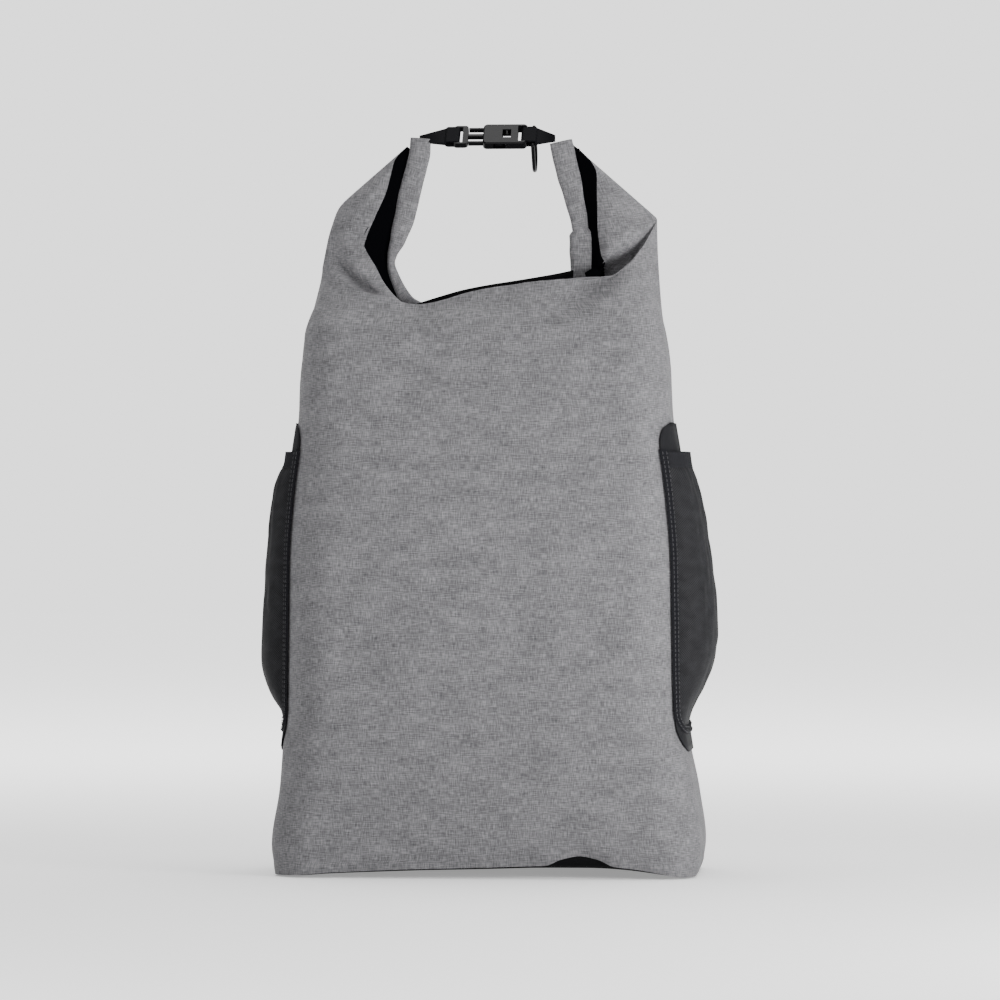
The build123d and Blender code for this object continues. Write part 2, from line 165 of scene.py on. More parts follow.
def curve(table, at):
    """Smooth values through the rows of a table, with no overshoot. The first column is the place."""
    table = np.array(table, float)
    t, v = table[:, 0], table[:, 1:]
    step = np.diff(t)[:, None]
    slope = np.diff(v, axis=0) / step
    m = np.empty_like(v)
    m[0], m[-1] = slope[0], slope[-1]
    a, b = slope[:-1], slope[1:]
    same = a * b > 0
    m[1:-1] = np.where(same, 2 * a * b / np.where(same, a + b, 1), 0)
    at = np.clip(np.asarray(at, float), t[0], t[-1])
    i = np.clip(np.searchsorted(t, at, side="right") - 1, 0, len(t) - 2)
    h = step[i]
    s = ((at - t[i]) / (t[i + 1] - t[i]))[..., None]
    return (
        (2 * s**3 - 3 * s**2 + 1) * v[i]
        + (s**3 - 2 * s**2 + s) * h * m[i]
        + (3 * s**2 - 2 * s**3) * v[i + 1]
        + (s**3 - s**2) * h * m[i + 1]
    )


def half_loop(z, u):
    """Points on the front half of the bag at heights z, for places u from the left seam to the right."""
    width, depth, corner, swell, _ = np.moveaxis(curve(BODY, z), -1, 0)
    straight, arc, front = depth / 2 - corner, math.pi * corner / 2, width - 2 * corner
    p = np.abs(u) * (straight + arc + front / 2)
    on_front = np.clip(p, 0, front / 2)
    angle = np.clip(p - front / 2, 0, arc) / corner
    on_side = np.clip(p - front / 2 - arc, 0, straight)
    x = on_front + corner * np.sin(angle)
    y = -depth / 2 + corner * (1 - np.cos(angle)) + on_side
    y = y - swell * np.cos(np.pi * np.clip(x / width, 0, 0.5)) * (np.abs(y) / (depth / 2)) ** 2
    x = x + 0.35 * swell * np.cos(np.pi * y / depth) * (x / (width / 2)) ** 8
    return np.stack([x * np.sign(u + 1e-9), y, np.broadcast_to(z, x.shape)], -1)


def side_point(z, s, lift=0.0):
    """Points on the right side of the bag, s millimetres from its middle line towards the back."""
    width, depth, corner, _, _ = np.moveaxis(curve(BODY, z), -1, 0)
    half = depth / 2 - corner + math.pi * corner / 2 + width / 2 - corner
    p = half_loop(z, 1 - np.abs(s) / half)
    q = half_loop(z, 1 - (np.abs(s) + 1.0) / half)
    along = (q - p) / np.linalg.norm(q - p, axis=-1, keepdims=True)
    p = p + lift * np.stack([-along[..., 1], along[..., 0], 0 * along[..., 0]], -1)
    p[..., 1] = np.where(s > 0, -p[..., 1], p[..., 1])
    return p


def lean(p):
    """The points moved with the body's lean."""
    return p + curve(BODY, p[..., 2])[..., 4:5] * ACROSS


def ripple(p, size, seed=0.0):
    """Smooth noise from -1 to 1 at a point in millimetres."""
    return noise.noise(Vector((p[0] / size + seed, p[1] / size - seed, p[2] / size + 2 * seed)))


# ---------------------------------------------------------------- meshes
def add_mesh(name, points, faces, uv=None, material=None):
    """A mesh object from points in millimetres and one texture place, in metres, per point."""
    mesh = bpy.data.meshes.new(name)
    mesh.from_pydata((np.asarray(points) * MM).tolist(), [], faces)
    if uv is not None:
        layer = mesh.uv_layers.new(name="UVMap")
        corner = np.empty(len(mesh.loops), np.int32)
        mesh.loops.foreach_get("vertex_index", corner)
        layer.data.foreach_set("uv", np.asarray(uv, np.float32)[corner].ravel())
    mesh.polygons.foreach_set("use_smooth", [True] * len(mesh.polygons))
    obj = bpy.data.objects.new(name, mesh)
    bpy.context.scene.collection.objects.link(obj)
    if material:
        mesh.materials.append(material)
    mesh.update()
    return obj


def grid_faces(rows, cols, wrap=False, flip=False):
    """Quads of a grid of points stored row after row."""
    faces = []
    last = cols if wrap else cols - 1
    for r in range(rows - 1):
        for c in range(last):
            a, b = r * cols + c, r * cols + (c + 1) % cols
            quad = (a, b, b + cols, a + cols)
            faces.append(quad[::-1] if flip else quad)
    return faces


def grid_uv(grid):
    """Texture places in metres that follow the lengths along a grid of points in millimetres."""
    rows, cols = grid.shape[:2]
    across = np.linalg.norm(np.diff(grid, axis=1), axis=-1)
    across = np.concatenate([np.zeros((rows, 1)), np.cumsum(across, 1)], 1)
    across -= across[:, cols // 2][:, None]
    up = np.linalg.norm(np.diff(grid, axis=0), axis=-1)
    up = np.concatenate([np.zeros((1, cols)), np.cumsum(up, 0)], 0)
    return np.stack([across, up], -1).reshape(-1, 2) * MM


def add_grid(name, grid, material, thick=0.0, wrap=False, flip=False):
    """A grid of points in millimetres as a surface, with thickness put on behind it."""
    rows, cols = grid.shape[:2]
    obj = add_mesh(name, grid.reshape(-1, 3), grid_faces(rows, cols, wrap, flip), grid_uv(grid), material)
    if thick:
        solid = obj.modifiers.new("thickness", "SOLIDIFY")
        solid.thickness, solid.offset = thick * MM, -1
    return obj


def sweep(name, centres, across, up, section, material, caps=True):
    """Carries section, points (across, up) or one list of them per place, along centres."""
    centres, across, up = (np.asarray(v, float) for v in (centres, across, up))
    section = np.asarray(section, float)
    if section.ndim == 2:
        section = np.repeat(section[None], len(centres), 0)
    n, m = section.shape[:2]
    across = np.broadcast_to(across, (n, 3))
    up = np.broadcast_to(up, (n, 3))
    points = centres[:, None] + section[..., :1] * across[:, None] + section[..., 1:] * up[:, None]
    faces = grid_faces(n, m, wrap=True)
    if caps:
        faces += [tuple(range(m))[::-1], tuple(range((n - 1) * m, n * m))]
    length = np.concatenate([[0], np.cumsum(np.linalg.norm(np.diff(centres, axis=0), axis=1))])
    edge = np.concatenate([[0], np.cumsum(np.linalg.norm(np.diff(section[0], axis=0), axis=1))])
    uv = np.stack(np.broadcast_arrays(edge[None, :], length[:, None]), -1).reshape(-1, 2) * MM
    return add_mesh(name, points.reshape(-1, 3), faces, uv, material)


def rounded_section(width, thick, corner, steps=5):
    """A rounded rectangle as points."""
    points = []
    for cx, cy, start in ((1, 1, 0), (-1, 1, 90), (-1, -1, 180), (1, -1, 270)):
        for k in range(steps + 1):
            a = math.radians(start + 90 * k / steps)
            x = cx * (width / 2 - corner) + corner * math.cos(a)
            y = cy * (thick / 2 - corner) + corner * math.sin(a)
            points.append((x, y))
    return np.array(points)


def path_points(path, count):
    """Evenly spaced places along a smooth line through path points, and their directions."""
    path = np.array(path, float)
    length = np.concatenate([[0], np.cumsum(np.linalg.norm(np.diff(path, axis=0), axis=1))])
    table = np.column_stack([length, path])
    fine = curve(table, np.linspace(0, length[-1], 400))
    run = np.concatenate([[0], np.cumsum(np.linalg.norm(np.diff(fine, axis=0), axis=1))])
    at = np.linspace(0, run[-1], count)
    points = np.stack([np.interp(at, run, fine[:, k]) for k in range(path.shape[1])], -1)
    direction = np.gradient(points, axis=0)
    direction /= np.linalg.norm(direction, axis=1, keepdims=True)
    return points, direction


STITCH_PITCH, STITCH_LENGTH, STITCH_WIDTH = 3.4, 2.3, 0.45
STITCH_SUNK, STITCH_RAISED, STITCH_BELLY = -0.2, 0.28, 0.6


def add_stitches(name, line, normals, material, body):
    """One row of thread along a line of points in millimetres, raised a little from the cloth."""
    run = np.concatenate([[0], np.cumsum(np.linalg.norm(np.diff(line, axis=0), axis=1))])
    points, stitch_faces = [], []
    for at in np.arange(STITCH_PITCH / 2, run[-1] - STITCH_LENGTH, STITCH_PITCH):
        ends = [np.array([np.interp(v, run, line[:, k]) for k in range(3)]) for v in (at, at + STITCH_LENGTH)]
        up = np.array([np.interp(at, run, normals[:, k]) for k in range(3)])
        along = (ends[1] - ends[0]) / STITCH_LENGTH
        aside = np.cross(along, up) * STITCH_WIDTH
        base = len(points)
        middle = (ends[0] + ends[1]) / 2
        rings = (
            (ends[0], 0.5, STITCH_SUNK),
            (middle - along * STITCH_BELLY, 1, STITCH_RAISED),
            (middle + along * STITCH_BELLY, 1, STITCH_RAISED),
            (ends[1], 0.5, STITCH_SUNK),
        )
        for place, grow, lift in rings:
            for side_step, height in ((1, 0), (0, STITCH_WIDTH * 1.3), (-1, 0)):
                points.append(place + aside * side_step * grow + up * (lift + height))
        for ring in range(3):
            for k in range(2):
                a = base + ring * 3 + k
                stitch_faces.append((a, a + 1, a + 4, a + 3))
    obj = add_mesh(name, points, stitch_faces, np.array(points)[:, 1:], material)
    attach(obj, body)
    return obj


# ---------------------------------------------------------------- materials
def new_material(name, base, rough, sheen=0.0, gloss=0.25):
    """A material with its fixed values on the shader itself, and its nodes, links and shader."""
    mat = bpy.data.materials.new(name)
    mat.use_nodes = True
    shader = mat.node_tree.nodes["Principled BSDF"]
    shader.inputs["Base Color"].default_value = (*base, 1)
    shader.inputs["Roughness"].default_value = rough
    shader.inputs["Sheen Weight"].default_value = sheen
    shader.inputs["Specular IOR Level"].default_value = gloss
    return mat, mat.node_tree.nodes, mat.node_tree.links, shader


def uv_noise(nodes, links, size_u, size_v, detail=3.0):
    """Noise stretched to a size in metres along each way of the cloth."""
    place = nodes.new("ShaderNodeTexCoord")
    stretch = nodes.new("ShaderNodeMapping")
    stretch.inputs["Scale"].default_value = (1 / size_u, 1 / size_v, 1)
    made = nodes.new("ShaderNodeTexNoise")
    made.inputs["Scale"].default_value = 1.0
    made.inputs["Detail"].default_value = detail
    links.new(place.outputs["UV"], stretch.inputs["Vector"])
    links.new(stretch.outputs["Vector"], made.inputs["Vector"])
    return made.outputs["Fac"]


def math_node(nodes, links, operation, a, b=None):
    """The output of one math node, fed by sockets or numbers."""
    node = nodes.new("ShaderNodeMath")
    node.operation = operation
    for socket, value in zip(node.inputs, (a, b)):
        if isinstance(value, (int, float)):
            socket.default_value = value
        elif value is not None:
            links.new(value, socket)
    return node.outputs[0]


def ramp(nodes, links, factor, stops):
    """A colour for each value of factor, through stops of (value, colour)."""
    node = nodes.new("ShaderNodeValToRGB")
    while len(node.color_ramp.elements) < len(stops):
        node.color_ramp.elements.new(0.5)
    for element, (place, colour) in zip(node.color_ramp.elements, stops):
        element.position = place
        element.color = (*colour, 1)
    links.new(factor, node.inputs["Fac"])
    return node.outputs["Color"]


def bump(nodes, links, shader, height, distance, strength):
    """Surface relief on the shader from a height."""
    node = nodes.new("ShaderNodeBump")
    node.inputs["Distance"].default_value = distance
    node.inputs["Strength"].default_value = strength
    links.new(height, node.inputs["Height"])
    links.new(node.outputs["Normal"], shader.inputs["Normal"])


HEATHER_SHADES = [(0.36, (0.052, 0.052, 0.055)), (0.5, (0.122, 0.12, 0.126)), (0.64, (0.225, 0.221, 0.232))]
# net colours: holes, then threads from dim to lit by painted sheen
NET_TONES_AND_SHEEN = [(0.0, (0.001, 0.001, 0.0012)), (0.45, (0.013, 0.013, 0.0145)), (0.85, (0.023, 0.023, 0.0255))]
PAD_DIMPLE_SHADE = [(0.0, (0.004, 0.004, 0.005)), (0.45, (0.014, 0.014, 0.0155))]
NET_PITCH, PAD_CELLS, PLASTIC_GRAIN = 0.0036, 420.0, 1400.0


def heather():
    """Coated heather-grey weave: light and dark slubs both along and across the cloth."""
    mat, nodes, links, shader = new_material("heather_fabric", (0.2, 0.2, 0.205), 0.75, sheen=0.04)
    along = uv_noise(nodes, links, 0.0075, 0.0007)
    across = uv_noise(nodes, links, 0.0007, 0.006)
    patchy = uv_noise(nodes, links, 0.03, 0.012)
    both = math_node(nodes, links, "ADD", along, across)
    both = math_node(nodes, links, "MULTIPLY", both, 0.42)
    both = math_node(nodes, links, "ADD", both, math_node(nodes, links, "MULTIPLY", patchy, 0.16))
    colour = ramp(nodes, links, both, HEATHER_SHADES)
    links.new(colour, shader.inputs["Base Color"])
    bump(nodes, links, shader, both, 0.00035, 0.7)
    return mat


def ribbed(name, base, rough, pitch, along_v=True):
    """Narrow woven tape with ribs across it."""
    mat, nodes, links, shader = new_material(name, base, rough, gloss=0.03)
    place = nodes.new("ShaderNodeTexCoord")
    split = nodes.new("ShaderNodeSeparateXYZ")
    links.new(place.outputs["UV"], split.inputs[0])
    turn = math_node(nodes, links, "MULTIPLY", split.outputs["Y" if along_v else "X"], 2 * math.pi / pitch)
    wave = math_node(nodes, links, "SINE", turn)
    bump(nodes, links, shader, wave, 0.00025, 0.6)
    return mat


def coated(name, base, rough, grain=0.003, gloss=0.25):
    """Coated cloth with a fine uneven grain."""
    mat, nodes, links, shader = new_material(name, base, rough, gloss=gloss)
    bump(nodes, links, shader, uv_noise(nodes, links, grain, grain, 5.0), 0.0005, 0.35)
    return mat


def netting():
    """Black net over black cloth: fine threads with dark holes between them, and painted sheen that lightens
    the threads in uneven streaks.
    """
    mat, nodes, links, shader = new_material("pocket_mesh", (0.005, 0.005, 0.006), 0.7, gloss=0.12)
    place = nodes.new("ShaderNodeTexCoord")
    split = nodes.new("ShaderNodeSeparateXYZ")
    links.new(place.outputs["UV"], split.inputs[0])
    total = math_node(nodes, links, "ADD", split.outputs["X"], split.outputs["Y"])
    minus = math_node(nodes, links, "SUBTRACT", split.outputs["X"], split.outputs["Y"])
    one = math_node(nodes, links, "SINE", math_node(nodes, links, "MULTIPLY", total, 2 * math.pi / NET_PITCH))
    two = math_node(nodes, links, "SINE", math_node(nodes, links, "MULTIPLY", minus, 2 * math.pi / NET_PITCH))
    cell = math_node(nodes, links, "ABSOLUTE", math_node(nodes, links, "MULTIPLY", one, two))
    # painted sheen: soft noise that lightens the threads in streaks
    uneven = uv_noise(nodes, links, 0.009, 0.007)
    thread = math_node(nodes, links, "LESS_THAN", cell, 0.6)
    shade = math_node(nodes, links, "MULTIPLY", thread, math_node(nodes, links, "ADD", uneven, 0.15))
    colour = ramp(nodes, links, shade, NET_TONES_AND_SHEEN)
    links.new(colour, shader.inputs["Base Color"])
    bump(nodes, links, shader, thread, 0.0003, 0.6)
    return mat


def spacer_mesh():
    """Padded black air mesh with small dimples, painted darker in the hollow of each dimple as shade."""
    mat, nodes, links, shader = new_material("pad_fabric", (0.01, 0.01, 0.011), 0.85, gloss=0.1)
    place = nodes.new("ShaderNodeTexCoord")
    cells = nodes.new("ShaderNodeTexVoronoi")
    cells.inputs["Scale"].default_value = PAD_CELLS
    cells.inputs["Randomness"].default_value = 0.25
    links.new(place.outputs["UV"], cells.inputs["Vector"])
    # painted shade: the colour darkens with the same depth that sinks each dimple
    colour = ramp(nodes, links, cells.outputs["Distance"], PAD_DIMPLE_SHADE)
    links.new(colour, shader.inputs["Base Color"])
    bump(nodes, links, shader, cells.outputs["Distance"], 0.0006, 0.8)
    return mat


def plastic():
    """Black moulded plastic with a fine spark-eroded skin."""
    mat, nodes, links, shader = new_material("buckle_plastic", (0.002, 0.002, 0.0025), 0.33, gloss=0.13)
    place = nodes.new("ShaderNodeTexCoord")
    grain = nodes.new("ShaderNodeTexNoise")
    grain.inputs["Scale"].default_value = PLASTIC_GRAIN
    links.new(place.outputs["Object"], grain.inputs["Vector"])
    bump(nodes, links, shader, grain.outputs["Fac"], 0.00008, 0.5)
    return mat


HEATHER = heather()
PATCH = coated("patch_fabric", (0.012, 0.012, 0.0135), 0.6, gloss=0.06)
# black cloth of the bottom, also used as painted shade for the strip behind the front fold
BLACK_CLOTH_AND_SHADE = coated("black_fabric", (0.004, 0.004, 0.0045), 0.65, 0.002, 0.04)
# painted shade: a near-black colour for the bag's cloth deep in the crevices beside the roll's arms
CREVICE_SHADE = coated("crevice_shade", (0.0015, 0.0015, 0.002), 0.8, gloss=0.0)
NET = netting()
ELASTIC = ribbed("elastic", (0.015, 0.015, 0.017), 0.7, 0.0016, False)
BINDING = ribbed("binding", (0.01, 0.01, 0.012), 0.6, 0.0014)
WEBBING = ribbed("black_webbing", (0.004, 0.004, 0.005), 0.65, 0.0016)
PAD = spacer_mesh()
PLASTIC = plastic()
STIFF = new_material("stiffener", (0.02, 0.02, 0.02), 0.5)[0]
THREAD = new_material("thread", (0.03, 0.03, 0.033), 0.6)[0]
TAPE = new_material("seam_tape", (0.35, 0.35, 0.36), 0.45)[0]

CAD_MATERIALS = {
    "buckle_": PLASTIC,
    "d_ring": PLASTIC,
    "ladder_lock": PLASTIC,
    "harness_yoke": WEBBING,
    "strap_keeper": WEBBING,
    "anchor_tab": WEBBING,
}
for node_name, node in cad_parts.items():
    for start, material in CAD_MATERIALS.items():
        if node_name.startswith(start):
            node.data.materials.clear()
            node.data.materials.append(material)


# ---------------------------------------------------------------- bag fabric
COLUMNS = 241
LOWER_ROWS, UPPER_ROWS, SHOULDER_ROWS, INSIDE_ROWS = 125, 21, 32, 8
# place across, height of the front hem, which has one arch that shows the black bottom
HEM = [
    (-160, 0.5), (-133, 1.6), (-115, 3.2), (-79, 5.0), (-43, 6.5), (-7, 7.5), (29, 8.7), (49, 9.4),
    (60, 13.8), (74, 16.6), (88, 13.8), (99, 9.0), (119, 6.4), (137, 3.0), (150, 0.9), (160, 0.5),
]
ARCH = (49, 99)
# height, size and seed of the uneven swells, the creases between them and the fine unevenness
BROAD, MIDDLE, CREASE, FINE = (2.3, 85, 3.1), (1.1, 38, 7.7), (0.9, 24, 1.3), (0.25, 9, 5.0)
CREASE_LEVEL, CREASE_STRETCH = 0.35, np.array([1, 1, 0.6])
# places across, from 0 at the middle to 1 at the seams, where near-black painted shade covers the cloth in
# the crevices and on the lip beside the right arm
CREVICE_SHADE_FROM, LIP_SHADE = 0.34, (0.37, 0.53)
FOLDS = [  # soft folds of the front: start (x, z), end (x, z), depth, width
    ((92, 447), (30, 402), 9.5, 11),
    ((-95, 436), (-60, 392), 1.8, 15),
    ((-118, 440), (-104, 350), 1.6, 14),
    ((120, 455), (124, 372), 1.5, 14),
    ((-150, 60), (-60, 96), 1.4, 18),
    ((150, 70), (70, 120), 1.3, 20),
    ((-120, 250), (30, 205), 1.2, 26),
    ((-20, 330), (110, 300), 1.3, 28),
]


def fold_depth(x, z):
    """How far the soft folds push the cloth in at places on the front."""
    total = np.zeros_like(x)
    for (x0, z0), (x1, z1), depth, width in FOLDS:
        dx, dz = x1 - x0, z1 - z0
        size = dx * dx + dz * dz
        t = np.clip(((x - x0) * dx + (z - z0) * dz) / size, 0, 1)
        away = np.hypot(x - x0 - t * dx, z - z0 - t * dz)
        swell = np.sin(np.pi * np.clip(t + 0.15, 0, 1)) ** 0.5
        total += depth * (1 - t) ** 0.7 * np.exp(-((away / width) ** 2)) * swell
    return total


def bag_half(face):
    """Rows of points from the hem to the valley on the front (-1) or back (+1) half."""
    u = np.linspace(-1, 1, COLUMNS)
    z = np.linspace(0, SHOULDER_Z, LOWER_ROWS)
    lower = lean(half_loop(z[:, None], u[None, :] * np.ones((LOWER_ROWS, 1))))
    before = lean(half_loop(np.full(COLUMNS, SHOULDER_Z - 4.0), u))
    ridge, tuck, lip, rim, valley = (curve(t, u) for t in (RIDGE, TUCK, LIP, RIM, VALLEY))
    if face > 0:
        raised = 3.0 * np.exp(-((u / 0.5) ** 4))[:, None] * UP
        ridge, tuck, lip, rim = ridge + raised, tuck + raised, lip + raised, rim + raised
    start = lower[-1]
    rise = (start - before) / 4.0
    gap = np.linalg.norm(ridge - start, axis=1, keepdims=True)
    forward = FRONT * np.clip(np.abs(ridge[:, 1:2]) / 26, 0, 1)
    upper = []
    p1 = start + rise * gap * 0.38
    p2 = ridge - UP * gap * 0.22 + forward * gap * 0.1
    for t in np.linspace(0, 1, UPPER_ROWS + 1)[1:]:
        k = 1 - t
        upper.append(k**3 * start + 3 * k**2 * t * p1 + 3 * k * t * t * p2 + t**3 * ridge)
    folds = np.stack([ridge, tuck, lip, rim])
    stops = np.array([0, 0.3, 0.52, 1])
    at = np.linspace(0, 1, SHOULDER_ROWS + 1)
    shoulder = np.empty((len(at), COLUMNS, 3))
    for c in range(COLUMNS):
        for k in range(3):
            shoulder[:, c, k] = np.interp(at, stops, folds[:, c, k])
    for _ in range(3):
        shoulder[1:-1] = (shoulder[:-2] + 2 * shoulder[1:-1] + shoulder[2:]) / 4
    shoulder = shoulder[1:]
    inside = []
    middle = (rim + valley) / 2 + 3.0 * FRONT * np.clip(np.abs(rim[:, 1:2]) / 12, 0, 1)
    for t in np.linspace(0, 1, INSIDE_ROWS + 1)[1:]:
        inside.append((1 - t) ** 2 * rim + 2 * (1 - t) * t * middle + t * t * valley)
    grid = np.concatenate([lower, np.array(upper), shoulder, np.array(inside)])
    if face > 0:
        grid = grid * np.array([1, -1, 1])
    return grid


def grid_normals(grid):
    """Unit normals of a grid of points."""
    across = np.gradient(grid, axis=1)
    up = np.gradient(grid, axis=0)
    normal = np.cross(across, up)
    return normal / (np.linalg.norm(normal, axis=-1, keepdims=True) + 1e-9)


def crumple(grid, face):
    """Uneven cloth: broad swells, soft folds and small creases, along the surface's own normal."""
    normal = grid_normals(grid) * (1 if face < 0 else -1)
    rows, cols = grid.shape[:2]
    flat = grid.reshape(-1, 3)
    seam = 1 - np.abs(np.linspace(-1, 1, cols)) ** 12
    amount = np.empty(len(flat))
    for i, p in enumerate(flat):
        broad = BROAD[0] * ripple(p, *BROAD[1:]) + MIDDLE[0] * ripple(p, *MIDDLE[1:])
        crease = CREASE_LEVEL - abs(ripple(p * CREASE_STRETCH, *CREASE[1:]))
        amount[i] = broad + CREASE[0] * crease + FINE[0] * ripple(p, *FINE[1:])
    amount = amount.reshape(rows, cols)
    if face < 0:
        amount -= fold_depth(grid[..., 0], grid[..., 2])
    # the sides stay calm below the shoulder, where the patches and pockets are sewn on
    from_edge = np.abs(grid[..., 0]) - curve(BODY, grid[..., 2])[..., 0] / 2
    on_side = np.clip((from_edge + 26) / 16, 0, 1) * np.clip((396 - grid[..., 2]) / 50, 0, 1)
    amount = amount * (1 - 0.93 * on_side) - 0.5 * on_side
    calm = np.ones(rows)
    calm[-INSIDE_ROWS:] = 0.2
    calm[:3] = 0.3
    return grid + normal * (amount * seam[None, :] * calm[:, None])[..., None]


def shape_hem(grid, face):
    """Keeps the hem off the ground: a little high in the middle, with one raised arch in front."""
    x, z = grid[0, :, 0], grid[..., 2]
    lift = curve(HEM, x)[:, 0] if face < 0 else 1.2 + 1.6 * np.clip(1 - (x / 140) ** 2, 0, 1)
    fade = np.clip(1 - z / 60, 0, 1) ** 2
    out = grid.copy()
    out[..., 2] += lift[None, :] * fade
    return out


def cloth_uv(grid):
    """Texture places that follow the weave: across the face and round the side, and up the cloth."""
    depth = np.abs(grid[..., 1]).max(axis=1, keepdims=True)
    across = np.sign(grid[..., 0]) * (np.abs(grid[..., 0]) + np.clip(depth - np.abs(grid[..., 1]), 0, None))
    last_upper = LOWER_ROWS + UPPER_ROWS - 1
    ridge_row = grid[last_upper]
    folded = np.clip(np.abs(ridge_row[:, 1]) - np.abs(grid[..., 1]), 0, None) * 0.25
    folded[:last_upper] = 0
    return np.stack([across, grid[..., 2] + folded], -1).reshape(-1, 2) * MM


halves = [shape_hem(crumple(bag_half(face), face), face) for face in (-1, 1)]
rows = halves[0].shape[0]
points = np.concatenate([h.reshape(-1, 3) for h in halves])
uvs = np.concatenate([cloth_uv(h) + np.array([0.0, 0.7 * (k == 1)]) for k, h in enumerate(halves)])
faces = grid_faces(rows, COLUMNS) + [
    tuple(i + rows * COLUMNS for i in f) for f in grid_faces(rows, COLUMNS, flip=True)
]
row_of_face = np.array([(f[0] % (rows * COLUMNS)) // COLUMNS for f in faces])
column_of_face = np.array([min(i % COLUMNS for i in f) for f in faces])
INSIDE_ROW = rows - INSIDE_ROWS - 1


def smooth_normals(points, faces):
    """Normals at the points, shared where two points stand at the same place."""
    p = points[np.array(faces)]
    face_normal = np.cross(p[:, 2] - p[:, 0], p[:, 3] - p[:, 1])
    key = np.unique(np.round(points, 3), axis=0, return_inverse=True)[1].ravel()
    total = np.zeros((key.max() + 1, 3))
    for k in range(4):
        np.add.at(total, key[np.array(faces)[:, k]], face_normal)
    total = total[key]
    return total / (np.linalg.norm(total, axis=1, keepdims=True) + 1e-12)


normals = smooth_normals(points, faces)


def bag_piece(name, chosen):
    """One piece of the bag's cloth with the normals of the whole, so that no join shows."""
    used = sorted({i for f in np.flatnonzero(chosen) for i in faces[f]})
    place = {v: k for k, v in enumerate(used)}
    piece_faces = [tuple(place[i] for i in faces[f]) for f in np.flatnonzero(chosen)]
    obj = add_mesh(name, points[used], piece_faces, uvs[used], HEATHER)
    # second material: near-black painted shade on the cloth in the crevices and on the lip beside the right
    # arm
    obj.data.materials.append(CREVICE_SHADE)
    column = column_of_face / (COLUMNS - 1) * 2 - 1
    crevice = (row_of_face >= INSIDE_ROW - 1) & (np.abs(column) > CREVICE_SHADE_FROM)
    # painted shade: the lip of the shoulder face beside the right arm also takes the near-black material
    by_lip = (column > LIP_SHADE[0]) & (column < LIP_SHADE[1])
    crevice |= (row_of_face >= LOWER_ROWS + UPPER_ROWS + 7) & by_lip
    for polygon, f in zip(obj.data.polygons, np.flatnonzero(chosen)):
        polygon.material_index = int(crevice[f])
    obj.data.normals_split_custom_set_from_vertices(normals[used].tolist())
    return obj


TOP_ROW = LOWER_ROWS - 1
below = row_of_face < TOP_ROW
is_left = column_of_face < COLUMNS // 2
bag_body = bag_piece("bag_body", below)
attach(bag_body, "root")
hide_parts("front_panel")
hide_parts("back_panel")
for side, sign in SIDES.items():
    top = bag_piece(f"bag_top_{side}", ~below & (is_left == (sign < 0)))
    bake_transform(top)
    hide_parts(f"shoulder_fold_{side}")

# ---------------------------------------------------------------- bottom
TRAY_ROWS = [(18.0, -3.0), (6.0, -3.0), (1.8, -4.5), (0.0, -9.0)]  # height, growth of the outline
TRAY_HALF = (150, 72)
TRAY_SHARES = (0.8, 0.6, 0.4, 0.2, 0.02)  # rings of the underside, as shares of the outline
UNDER_HEM = 0.8
# the underside rises in a straight slope from this place behind the middle to the front edge
SLOPE_BACK, SLOPE_LENGTH = 42, 122


def add_bottom():
    """The bottom panel: a shallow tray whose front is lifted with the hem, except at the hem's arch."""
    u = np.linspace(-1, 1, 121)
    tray = []
    for z, grow in TRAY_ROWS:
        front = half_loop(np.full(121, max(z, 1.0)), u)
        loop = np.concatenate([front, front[-2:0:-1] * np.array([1, -1, 1])])
        loop = loop * np.array([1 + grow / TRAY_HALF[0], 1 + grow / TRAY_HALF[1], 0]) + UP * z
        tray.append(loop)
    tray = np.array(tray + [loop * np.array([share, share, 1]) for share in TRAY_SHARES])
    beside_arch = [row for row in HEM if not ARCH[0] < row[0] < ARCH[1]]
    lifted = np.clip(curve(beside_arch, tray[..., 0])[..., 0] - UNDER_HEM, 0, None)
    tray[..., 2] += lifted * np.clip((SLOPE_BACK - tray[..., 1]) / SLOPE_LENGTH, 0, 1)
    bottom = add_grid("bottom_cloth", tray, BLACK_CLOTH_AND_SHADE, wrap=True, flip=True)
    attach(bottom, "root")
    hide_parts("bottom_panel")


add_bottom()

# ---------------------------------------------------------------- rolled mouth
ROLL_PATH = {
    "left": [
        (-49.8, 550), (-50.8, 538), (-57.8, 510), (-62.5, 489), (-67.3, 473), (-71.3, 463), (-72.3, 457),
        (-70.3, 448), (-66.5, 438), (-61, 428), (-51, 420), (-36, 416.5), (-18, 416), (0, 416),
    ],
    "right": [
        (55, 547), (58.8, 530), (63, 514), (67.1, 498.5), (70.3, 485), (71.8, 476), (72.6, 466),
        (73.2, 450), (70.5, 438), (61, 429), (46, 423), (20, 417), (0, 416),
    ],
}
# share of the way along, half width of the roll, half thickness
ROLL_SIZE = {
    "left": [
        (0, 8.7, 5.0), (0.06, 8.6, 5.4), (0.21, 9.0, 6.0), (0.32, 8.6, 6.2), (0.41, 6.6, 6.4),
        (0.47, 4.3, 6.6), (0.5, 3.6, 6.8), (0.55, 4.6, 6.6), (0.61, 5.6, 6.4), (0.67, 7.2, 6.2),
        (0.74, 8.4, 6.0), (1, 9.0, 6.0),
    ],
    "right": [
        (0, 9.3, 5.0), (0.1, 9.5, 5.4), (0.2, 9.2, 5.8), (0.3, 8.6, 6.0), (0.362, 8.3, 5.8),
        (0.375, 11.2, 8.0), (0.45, 12.0, 7.6), (0.54, 11.6, 7.0), (0.66, 9.8, 6.4), (1, 9.0, 6.0),
    ],
}
TURNS, LAYER = 2.3, 1.0
SEAM_ANGLE, LAYER_SHRINK = -75, 1.75
STRIP_SIZE = (4.0, 0.5)
STRAP_DEPTH, STRAP_Z, STRAP_THICK = 7.4, (447, 543), 1.3


